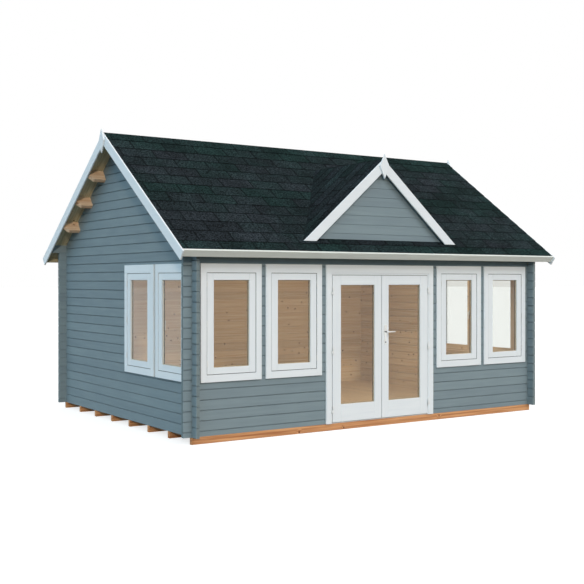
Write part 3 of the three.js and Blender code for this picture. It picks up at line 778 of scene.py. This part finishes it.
# the small gable's roof: its strips run up the slope, parallel to its rake
STRIP = COURSE * ROOF_COS
STRIP_TAB, STRIP_TABS = 587.0, 5
FIRST_STRIP = CAP_LEG * ROOF_COS
FELT_BACK = -400.0       # well under the main slope
DORMER_BOARDS = 13
dormer_slope = (DORMER_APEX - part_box("dormer_roof")[0].z / MM) / DORMER_TAN / DORMER_COS

dormer_cover = courses_of_tabs("dormer_cover", range(2, 12), FIRST_STRIP, STRIP, -DORMER_FRONT - 1,
                               STRIP_TAB, -STRIP_TAB, STRIP_TABS)
# tabs were laid along X with their lower edge towards +Y; the strip's lower edge faces the front
shift(dormer_cover, Matrix(((0, -1, 0, 0), (1, 0, 0, 0), (0, 0, 1, 0), (0, 0, 0, 1))))
dormer_felt = underlay("dormer_felt", DORMER_FRONT, FELT_BACK, dormer_slope)
dormer_boards = roof_boards("dormer_boards", DORMER_FRONT, DORMER_GAP, dormer_slope, DORMER_BOARDS)


def strip_tab(spot):
    """The strip and the tab that a point on the small gable's slope is in."""
    return (math.floor((-spot.x - FIRST_STRIP + 1) / STRIP), math.floor(spot.y / STRIP_TAB))


# each layer ends this far above the main slope
for side, word in ((-1, "left"), (1, "right")):
    for source, layer, slot, above in ((dormer_cover, "shingles", "roof_covering", 4.5),
                                       (dormer_felt, "underlay", "roof_covering", 0.5),
                                       (dormer_boards, "roof_boards", "natural_pine", 0.5)):
        piece = twin(source, f"dormer_{layer}_{word}")
        if source is dormer_cover:
            tint_tabs(piece, strip_tab, lambda key: TEAL_SHARE)
        elif source is dormer_boards:
            lay_grain(piece, Y, X, lambda spot: math.floor((spot.x - DORMER_FRONT) / ROOF_BOARD))
        shift(piece, dormer_frame(side))
        trim(piece, (0, 0, RIDGE + above / ROOF_COS), (0, ROOF_SIN, -ROOF_COS))
        trim(piece, (0, DORMER_FRONT, 0), (0, -1, 0))
        trim(piece, (side, 0, 0), (-side, 0, 0))
        set_up(piece, slot, "dormer_roof")
discard(dormer_cover, dormer_felt, dormer_boards)

# ---- white boards and the small gable's front ----

EDGE_EASE = 2.5
# the fascia boards take the darker, creamier white: painted shade
for node in ("front_fascia", "back_fascia"):
    fascia = timber(node, "board", EDGE_EASE, X, Z, "white_paint", SHADED_EDGE_PAINT, SHADED_ROOF_PINE)
    # the back of the board is bare spruce, painted darker like the roof boards: painted shade
    for face in fascia.data.polygons:      # the back of the board is left bare
        face.material_index = int(face.normal.y * face.center.y < -0.5 * abs(face.center.y))
for gable, across in (("left", Y), ("right", Y), ("dormer", X)):
    timber(gable + "_bargeboards", "pair", EDGE_EASE, across, Z, "white_paint", WHITE_PAINT,
           lane=lambda spot: spot.dot(across) > 0)
for gable in ("left", "right", "dormer"):
    timber(gable + "_finial", "spear", EDGE_EASE, Z, X, "white_paint", WHITE_PAINT)

PANEL_JOINT, PANEL_JOINTS = WALL_BASE + 2287.0, 9
PANEL_VEE, PANEL_DEPTH = 2.8, 7.0
panel = from_node("dormer_cladding", "dormer_wall")
low, high = (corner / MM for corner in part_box("dormer_wall"))
cut_joints(panel, joint_rings(low.xy, high.xy, PANEL_JOINT, PANEL_JOINTS, PANEL_VEE, PANEL_DEPTH))
lay_grain(panel, X, Z, lambda spot: math.floor((spot.z - PANEL_JOINT) / LOG_PITCH))
set_up(coat(panel, GREY_STAIN), "grey_paint", "dormer_wall")

# ---- joinery ----


def surround(name, opening, widths, depth, *paints, over="head", ease=2.0):
    """Four boards round an opening (x0, x1, z0, z1); the head or the sides run through."""
    x0, x1, z0, z1 = opening
    side, foot, head = widths
    front, back = depth
    top = z1 if over == "head" else z1 + head
    spans = [(x0 - side, x0, z0 - foot, top, Z, X), (x1, x1 + side, z0 - foot, top, Z, X)]
    if over == "head":
        spans.insert(0, (x0 - side, x1 + side, z1, z1 + head, X, Z))
    else:
        spans.append((x0, x1, z1, z1 + head, X, Z))
    if foot > 0:
        spans.append((x0, x1, z0 - foot, z0, X, Z))
    made = [board("side", (a, front, c), (b, back, d), along, across, ease)
            for a, b, c, d, along, across in spans]
    return coat(join(name, made), *paints)


def grown(opening, by):
    """An opening made wider and taller all round."""
    x0, x1, z0, z1 = opening
    return (x0 - by, x1 + by, z0 - by, z1 + by)


def slot_of(piece):
    """A sash, leaf or frame is bare inside and white outside."""
    return "natural_pine" if "lining" in piece.name else "white_paint"


def tape_and_shade_edges(piece, opening):
    """The faces that face the pane's opening are dark: glazing tape, and painted shade of the reveal round
    the pane.
    """
    x0, x1, z0, z1 = grown(opening, 0.1)
    for face in piece.data.polygons:
        x, _, z = face.center / MM
        face.material_index = int(x0 < x < x1 and z0 < z < z1)


def barrel(x, y, z0, z1, radius):
    """Half a barrel hinge with rounded ends."""
    return smooth(arris(rod("barrel", (x, y, z0), (x, y, z1), radius, 16), radius * 0.35, 2), 35)


GLASS_HALF, GLASS_RISE = 232.0, 486.0
STILE, TOP_RAIL, BOTTOM_RAIL = 86.0, 77.0, 73.0
SASH_EASE, PLAY = 3.0, 6.0
CASING, HEAD_CASING, SILL_CASING = 74.0, 100.0, 81.0
JAMB = 28.0
TRIM, TRIM_GAP = 32.0, 0.3
STOP = 16.0
WALL_FACE = -4.0                  # the wall's outer face, from the middle of the pane
SASH_FRONT, SASH_BACK = -22.0, 22.0
HALF_FRONT, HALF_BACK = 4.0, 4.6  # a sash or leaf is painted in front of this depth and bare behind it
BEAD = 6.0                        # the bare half's edges stand this far over the pane
CASING_FRONT = -26.0
SEAL_DEPTH = 12.0
SASH_SEAL_BACK = 3.5              # the seal in the gap round a sash stands this far behind its face: close, so that its dark rubber also paints the gap's shade
LEAF_SEAL_BACK = 9.0
INNER_FACE = WALL_FACE + LOG_THICKNESS
LINING_BACK = INNER_FACE + 22.0

# one casement, round the middle of its pane, hung on its left; -Y is outside
pane = (-GLASS_HALF, GLASS_HALF, -GLASS_RISE, GLASS_RISE)
sash_half = GLASS_HALF + STILE
sash_edge = (-sash_half, sash_half, -GLASS_RISE - BOTTOM_RAIL, GLASS_RISE + TOP_RAIL)
hole = grown(sash_edge, PLAY)

casing = join("casing", [
    surround("boards", hole, (CASING, SILL_CASING, HEAD_CASING),
             (CASING_FRONT, WALL_FACE - 0.3), WHITE_PAINT),
    surround("jamb", hole, [JAMB] * 3, (WALL_FACE - 0.2, SASH_BACK), WHITE_PAINT, ease=1.0)])
sash = surround("sash", pane, (STILE, BOTTOM_RAIL, TOP_RAIL), (SASH_FRONT, HALF_FRONT), WHITE_PAINT,
                over="sides", ease=SASH_EASE)
beaded = grown(pane, -BEAD)
sash_lining = surround("sash_lining", beaded, (STILE + BEAD, BOTTOM_RAIL + BEAD, TOP_RAIL + BEAD),
                       (HALF_BACK, SASH_BACK), BARE_PINE, DARK_RUBBER_AND_SHADE, over="sides", ease=SASH_EASE)
tape_and_shade_edges(sash_lining, beaded)
lining = join("lining", [
    surround("lining", hole, [JAMB] * 3, (SASH_BACK + 0.3, LINING_BACK), BARE_PINE),
    surround("inner_casing", grown(hole, JAMB + TRIM_GAP), [TRIM] * 3,
             (INNER_FACE + 0.3, LINING_BACK - 3), BARE_PINE),
    surround("stop", grown(hole, -STOP), [STOP - 0.3] * 3,
             (SASH_BACK + 0.3, SASH_BACK + 14), BARE_PINE, ease=1.5)])
seal_front = SASH_FRONT + SASH_SEAL_BACK
seal = surround("seal", grown(sash_edge, 0.4), [5.2] * 3, (seal_front, seal_front + SEAL_DEPTH),
                DARK_RUBBER_AND_SHADE, ease=0.8)
hinges = join("hinges", [
    barrel(-sash_half - PLAY / 2, CASING_FRONT - 3.0, middle + foot, middle + head, 6.0)
    for middle in (-438.0, 2.0, 442.0) for foot, head in ((-35, -0.5), (0.5, 35))])
coat(hinges, WHITE_NYLON)


def window_handle():
    """The inside espagnolette handle: a rounded back plate, a neck and a lever hanging down."""
    x, z = (sash_half + GLASS_HALF) / 2, 2.0
    plate = arris(blank("plate", (x - 14, SASH_BACK, z - 32), (x + 14, SASH_BACK + 9, z + 32)), 4.0, 3)
    neck = arris(rod("neck", (x, SASH_BACK + 8, z), (x, SASH_BACK + 30, z), 8, 20), 1.5, 2)
    grip = blank("grip", (x - 9, SASH_BACK + 18, z - 100), (x + 9, SASH_BACK + 34, z + 16))
    choose(grip, faces=lambda face: face.normal.z < -0.9)
    bpy.ops.transform.resize(value=(0.7, 0.6, 1))
    done()
    return coat(smooth(join("handle", [plate, neck, arris(grip, 4.5, 3)]), 30), WHITE_NYLON)


handle = window_handle()
MIRROR = Matrix.Scale(-1, 4, X)
# which way each window faces, and on which side it hangs
WINDOWS = [("front_window_1", 0, 1), ("front_window_2", 0, -1), ("front_window_3", 0, 1),
           ("front_window_4", 0, -1), ("left_window_1", -90, -1), ("left_window_2", -90, 1),
           ("right_window_1", 90, 1), ("right_window_2", 90, -1)]
PARTS = (casing, sash, sash_lining, lining, seal, hinges, handle)
for window, degrees, hand in WINDOWS:
    low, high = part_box(window + "_glass")
    place = Matrix.Translation((low + high) / 2) @ Matrix.Rotation(math.radians(degrees), 4, "Z")
    if hand < 0:
        place = place @ MIRROR
    for source in PARTS:
        piece = twin(source, f"{window}_{source.name}", place)
        if "grain" in piece.data.attributes:
            start = Vector((random.uniform(0, 9), random.uniform(0, 9), 0))
            for corner in piece.data.attributes["grain"].data:
                corner.vector = Vector(corner.vector) + start
        set_up(piece, slot_of(source), window + "_frame")
discard(*PARTS)

# ---- double door ----

leaf_low, leaf_high = (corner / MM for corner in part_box("door_glass_right"))
PANE_Y = (leaf_low.y + leaf_high.y) / 2
LEAF_FRONT, LEAF_BACK = PANE_Y + SASH_FRONT, PANE_Y + SASH_BACK      # as thick as a sash
LEAF_INNER, LEAF_OUTER = 3.6, 762.0
LEAF_GLASS = (leaf_low.x - 0.3, leaf_high.x + 0.3, leaf_low.z - 0.3, leaf_high.z + 0.3)
LEAF_FOOT, LEAF_HEAD = WALL_BASE + 14.0, WALL_BASE + 1781.0
CASING_Y = LEAF_FRONT - 4.0
JAMB_HALF, JAMB_TOP = LEAF_OUTER + PLAY, LEAF_HEAD + PLAY
CASING_HALF, CASING_TOP = 784.0, WALL_BASE + 1808.0
DOOR_HALF, DOOR_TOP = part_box("door_frame")[1].x / MM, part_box("door_frame")[1].z / MM
INNER_Y = -INNER_FACE_Y
DOOR_JAMB, DOOR_TRIM, DOOR_STOP = 40.0, 20.0, 18.0
STOP_Y = LEAF_BACK + PLAY
LINING_FOOT = floor_high.z + 0.3      # the lining stands on the floor boards
WALL_SEAM = -WALL_HALF_Y - 0.4        # the jamb's outer and inner halves meet here
HINGE_X, HINGE_Y = LEAF_OUTER + PLAY / 2, CASING_Y - 8.5
FLOOR_EDGE = floor_low.y - 0.3
SILL_STEP = 12.0                      # the threshold is this much higher behind the leaves


def round_doorway(name, by, foot, width, depth, *paints, ease=2.0):
    """Two uprights and a head, round the doorway made wider and taller by so much."""
    opening = (-JAMB_HALF - by, JAMB_HALF + by, foot, JAMB_TOP + by)
    return surround(name, opening, (width, 0, width), depth, *paints, ease=ease)


door_frame = join("door_casing_and_jamb", [
    surround("door_casing", (-CASING_HALF, CASING_HALF, WALL_BASE, CASING_TOP),
             (DOOR_HALF - CASING_HALF, 0, DOOR_TOP - CASING_TOP),
             (CASING_Y, -WALL_HALF_Y - 0.3), WHITE_PAINT),
    round_doorway("door_jamb", 0, WALL_BASE, DOOR_JAMB, (CASING_Y + 8, WALL_SEAM), WHITE_PAINT, ease=1.5),
    round_doorway("back_jamb", 0, WALL_BASE, DOOR_JAMB, (WALL_SEAM, LEAF_BACK + 2), WHITE_PAINT, ease=0.5)])
set_up(door_frame, "white_paint", "door_frame")

door_lining = join("door_lining", [
    round_doorway("door_lining", 0, LINING_FOOT, DOOR_JAMB, (LEAF_BACK + 2.3, INNER_Y + 22), BARE_PINE),
    round_doorway("door_trim", DOOR_JAMB + TRIM_GAP, LINING_FOOT, DOOR_TRIM, (INNER_Y + 0.3, INNER_Y + 19),
                  BARE_PINE),
    round_doorway("door_stop", -DOOR_STOP, LINING_FOOT, DOOR_STOP - 0.3, (STOP_Y, STOP_Y + 16), BARE_PINE,
                  ease=1.5)])
set_up(door_lining, "natural_pine", "door_frame")

# the door's seals are dark rubber close behind the faces: seals, and painted shade in the gaps
seal_front = LEAF_FRONT + LEAF_SEAL_BACK
frame_seal = round_doorway("frame_seal", 0.5 - PLAY, WALL_BASE + 9, 5,
                           (seal_front, seal_front + SEAL_DEPTH), DARK_RUBBER_AND_SHADE, ease=0.8)
set_up(frame_seal, "white_paint", "door_frame")

sill = blank("threshold", (-JAMB_HALF + 0.3, -WALL_HALF_Y + 0.3, WALL_BASE + 0.4),
             (JAMB_HALF - 0.3, FLOOR_EDGE, WALL_BASE + 8))
score(sill, (0, STOP_Y, 0), (0, 1, 0), faces=lambda face: face.normal.z > 0.9)
choose(sill, faces=lambda face: face.normal.z > 0.9 and face.center.y > STOP_Y * MM)
bpy.ops.mesh.extrude_region_move(TRANSFORM_OT_translate={"value": (0, 0, SILL_STEP * MM)})
done()
lay_grain(arris(sill, 1.0), X, Y)
set_up(coat(sill, WHITE_PAINT), "white_paint", "door_frame")


def leaf_hinges(name, upper):
    """The upper or lower halves of the right leaf's three hinges: each a knuckle and its arm."""
    made = []
    for height in (170, 880, 1590):
        z = WALL_BASE + height
        z0, z1 = (z + 0.3, z + 45) if upper else (z - 45, z - 0.3)
        reach = (HINGE_X - 12, HINGE_X) if upper else (HINGE_X, HINGE_X + 24)
        back = LEAF_FRONT + 0.6 if upper else CASING_Y + 0.6
        made.append(barrel(HINGE_X, HINGE_Y, z0, z1, 8.0))
        made.append(arris(blank("arm", (reach[0], HINGE_Y - 3, z0 + 8), (reach[1], back, z1 - 8)), 1.5, 2))
    return coat(join(name, made), WHITE_NYLON)


def leaf_half(name, opening, depth, *paints):
    """The outer or inner half of the right leaf; its hinge stile is wider than its lock stile."""
    x0, x1, z0, z1 = opening
    boards = surround(name, opening, (x0 - LEAF_INNER, z0 - LEAF_FOOT, LEAF_HEAD - z1), depth,
                      over="sides", ease=SASH_EASE)
    choose(boards, faces=lambda face: face.center.x > (x1 + 1) * MM)
    bpy.ops.mesh.select_linked()
    bpy.ops.mesh.delete(type="FACE")
    done()
    front, back = depth
    stile = board("hinge_stile", (x1, front, LEAF_FOOT), (LEAF_OUTER, back, LEAF_HEAD), Z, X, SASH_EASE)
    return coat(join(name, [boards, stile]), *paints)


hinges = leaf_hinges("hinges", True)
frame_hinges = leaf_hinges("frame_hinges", False)
outer = leaf_half("outer", LEAF_GLASS, (LEAF_FRONT, PANE_Y + HALF_FRONT), WHITE_PAINT)
beaded = grown(LEAF_GLASS, -BEAD)
lining = leaf_half("lining", beaded, (PANE_Y + HALF_BACK, LEAF_BACK), BARE_PINE, DARK_RUBBER_AND_SHADE)
tape_and_shade_edges(lining, beaded)
seal = blank("seal", (0.7, seal_front, LEAF_FOOT), (LEAF_INNER + 0.2, seal_front + 16, LEAF_HEAD))
coat(arris(seal, 0.5), DARK_RUBBER_AND_SHADE)

PARTS = (outer, lining, seal, hinges)
for place, word in ((Matrix(), "right"), (MIRROR, "left")):
    for source in PARTS:
        piece = twin(source, f"{word}_leaf_{source.name}", place)
        set_up(piece, slot_of(source), f"door_leaf_{word}", body=f"{word}_leaf")
    set_up(twin(frame_hinges, f"{word}_frame_hinges", place), "white_paint", "door_frame")
discard(*PARTS, frame_hinges)

# ---- door furniture ----

handle_low, handle_high = (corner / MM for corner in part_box("door_handle"))
PLATE_X = 56.0
PLATE_HALF = 21.0
WAIST_SHARE = 0.62       # of the plate's width
LEVER_Z = WALL_BASE + 1082.0
KEY_Z = WALL_BASE + 952.0


# the turned parts are dark steel: the cylinder's own colour and painted shade round the neck
def turned(name, height, foot, head, ease):
    """A turned steel part that stands out from a back plate."""
    part = rod(name, (PLATE_X, foot, height), (PLATE_X, head, height), 9)
    return coat(arris(part, ease, 2), DARK_STEEL_AND_SHADE)


def long_plate(face, out):
    """A back plate, wide at the lever, waisted, and round about the lock cylinder."""
    y0, y1 = sorted((face, face + out * 6.0))
    plate = blank("plate", (PLATE_X - PLATE_HALF, y0, handle_low.z),
                  (PLATE_X + PLATE_HALF, y1, handle_high.z))
    waist = (KEY_Z + 44, KEY_Z + 68)
    for height in (KEY_Z - 22, KEY_Z, KEY_Z + 22, *waist, LEVER_Z - 46):
        score(plate, (0, 0, height), (0, 0, 1))
    for vertex in plate.data.vertices:
        if any(abs(vertex.co.z - height * MM) < 1e-5 for height in waist):
            vertex.co.x = (PLATE_X + (vertex.co.x / MM - PLATE_X) * WAIST_SHARE) * MM
    coat(arris(plate, 2.2, 2), STEEL)
    return [plate, turned("cylinder", KEY_Z, face + out * 5, face + out * 11.5, 1)]


def lever(face, out):
    """A straight lever on a round neck, its grip a little flattened and eased at the end."""
    y0, y1 = sorted((face + out * 38, face + out * 52))
    grip = blank("grip", (PLATE_X - 9, y0, LEVER_Z - 9), (handle_high.x, y1, LEVER_Z + 9))
    choose(grip, faces=lambda part: part.normal.x > 0.9)
    bpy.ops.transform.resize(value=(1, 0.85, 0.75))
    done()
    coat(arris(grip, 5.0, 4), STEEL)
    return [grip, turned("neck", LEVER_Z, face + out * 5, face + out * 46, 1.5)]


furniture = []
for face, out in ((LEAF_FRONT - 0.3, -1), (LEAF_BACK + 0.3, 1)):
    furniture += long_plate(face, out) + lever(face, out)
set_up(smooth(join("door_lever_set", furniture), 30), "steel", "door_handle", body="right_leaf")

for name, node in frame["nodes"].items():
    if "glass" in name:
        node.material_slots[0].material = GLASS

# ---- floor, light and camera ----


def looked_at(add):
    """1 where the camera, a reflection or a pane looks; 0 where light is only gathered."""
    path = add("LightPath")
    seen = path.outputs["Is Camera Ray"]
    for ray in ("Is Glossy Ray", "Is Transmission Ray"):
        seen = add("Math", {0: seen, 1: path.outputs[ray]}, operation="MAXIMUM").outputs[0]
    return seen


# a plain pale floor: lenses and mirrors see it nearly white, and it still holds the shadow
PALE_GROUND, add = material("studio_floor")
glow = add("Emission", {"Color": (1, 1, 1, 1), "Strength": 0.72})
pale = add("BsdfDiffuse", {"Color": (0.5, 0.5, 0.5, 1)})
shown = add("AddShader", {0: glow, 1: pale})
bounced = add("BsdfDiffuse", {"Color": (0.08, 0.075, 0.06, 1)})
mix = add("MixShader", {0: looked_at(add), 1: bounced, 2: shown})
add("OutputMaterial", {0: mix})

alone()
bpy.ops.mesh.primitive_plane_add(size=400)
floor = coat(named("studio_floor"), PALE_GROUND)

world = bpy.data.worlds.new("studio")
bpy.context.scene.world = world
add = emptied(world)
white = add("Background", {"Color": (1, 1, 1, 1), "Strength": 1.0})
# the light box is brightest low down, and cooler on the left
toward = add("SeparateXYZ", {0: add("TexCoord").outputs["Generated"]})
left = add("Math", {0: toward, 1: -1.0}, operation="MULTIPLY", use_clamp=True)
low = add("Mix", {0: left, MIX_FIRST: (0.88, 0.86, 0.83, 1), MIX_SECOND: (0.91, 1.64, 2.15, 1)},
          data_type="RGBA")
tone = add("Mix", {0: toward.outputs[2], MIX_FIRST: low.outputs[MIX_RESULT],
                   MIX_SECOND: (0.6, 0.6, 0.6, 1)}, data_type="RGBA")
soft = add("Background", {"Color": tone.outputs[MIX_RESULT], "Strength": 1.0})
mix = add("MixShader", {0: looked_at(add), 1: soft, 2: white})
add("OutputWorld", {0: mix})


def lamp(name, kind, energy, colour, travel, **settings):
    """A lamp that shines along a direction."""
    light = bpy.data.lights.new(name, kind)
    light.energy = energy
    light.color = colour
    for key, value in settings.items():
        setattr(light, key, value)
    holder = bpy.data.objects.new(name, light)
    holder.rotation_euler = Vector(travel).to_track_quat("-Z", "Y").to_euler()
    bpy.context.collection.objects.link(holder)
    return holder


# a low warm sun from the left, and a broad white one from above the front
lamp("warm_key", "SUN", 1.0, (1.0, 0.82, 0.64), (0.53, 1.0, -0.34), angle=math.radians(4))
lamp("broad_key", "SUN", 1.02, (0.925, 0.945, 1.0), (-0.25, 1.0, -0.9), angle=math.radians(30))
# a soft lamp under the roof, so that the bare room shows through the panes
room = lamp("room_lamp", "AREA", 32.0, (1.0, 0.86, 0.68), (0, 0.8, -1.0),
            shape="RECTANGLE", size=3.4, size_y=1.2)
room.location = (0.7, -0.9, 2.25)
for ray in ("camera", "glossy", "transmission"):
    setattr(room, "visible_" + ray, False)

lens = bpy.data.cameras.new("camera")
lens.sensor_width = 36.0
lens.lens = 59.24
lens.shift_x = 0.0681
lens.shift_y = -0.0195
lens.clip_end = 500.0
camera = bpy.data.objects.new("camera", lens)
camera.location = (-7.7618, -11.0743, 1.7994)
camera.rotation_euler = (math.radians(90), 0, math.radians(-32.47))
bpy.context.collection.objects.link(camera)
bpy.context.scene.camera = camera
bpy.context.scene.view_settings.view_transform = "Standard"
